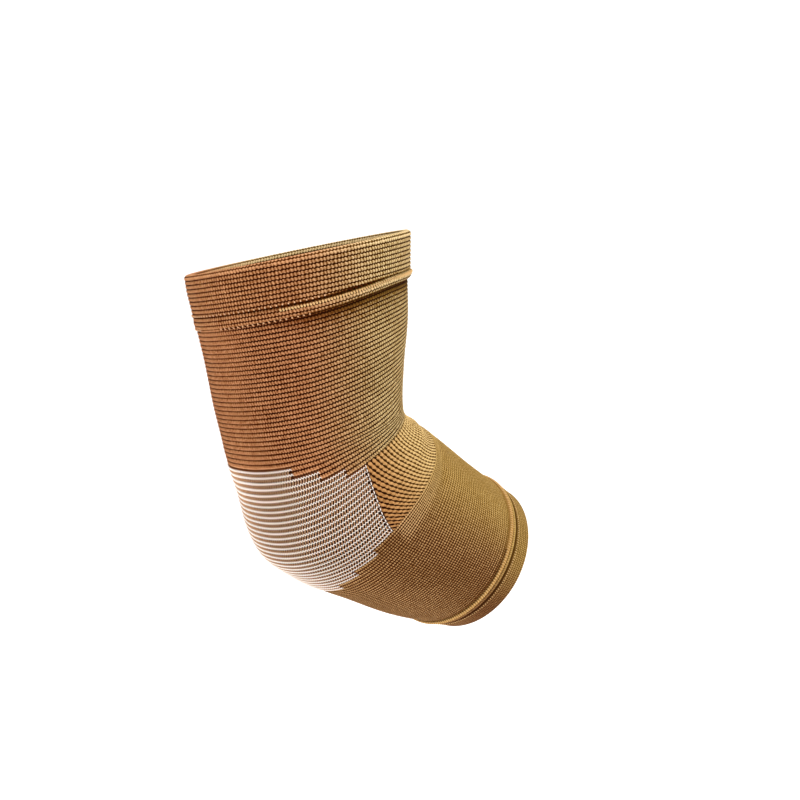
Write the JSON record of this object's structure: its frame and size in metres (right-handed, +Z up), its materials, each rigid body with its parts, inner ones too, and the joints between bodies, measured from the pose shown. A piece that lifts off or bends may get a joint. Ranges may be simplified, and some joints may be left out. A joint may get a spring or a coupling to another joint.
{
  "type": "elbow brace",
  "caption": "Bent knitted compression sleeve for the elbow, with a doubled upper cuff, striped elbow panel, ribbed crook gusset and forearm hem.",
  "frame": {"origin": "centre of the sleeve's hollow at the middle of the elbow's bend, where the elbow sits", "axes": "+Z up along the upper arm, +X towards the crook and the forearm side, the sleeve bends in the XZ plane and both sides along Y are alike"},
  "size_m": [0.1605, 0.1088, 0.2031],
  "materials": {
    "upper_cuff": "doubled rib knit band with a rolled rim, matte",
    "upper_welt": "stitched raised roll of rib knit, matte",
    "upper_sleeve": "course ribbed elastic knit, matte",
    "elbow_panel": "elastic knit with white inlay stripes, matte",
    "crook_gusset": "coarse ribbed elastic knit with open gaps, matte",
    "forearm_sleeve": "fine plain elastic knit, matte",
    "forearm_welt": "raised overlocked hem ridge, matte",
    "forearm_cuff": "plain doubled hem band, matte"
  },
  "bodies": {
    "root": {"upper_cuff": "upper_cuff", "upper_welt": "upper_welt", "upper_sleeve": "upper_sleeve", "elbow_panel": "elbow_panel", "crook_gusset": "crook_gusset", "forearm_sleeve": "forearm_sleeve", "forearm_welt": "forearm_welt", "forearm_cuff": "forearm_cuff"}
  },
  "joints": []
}
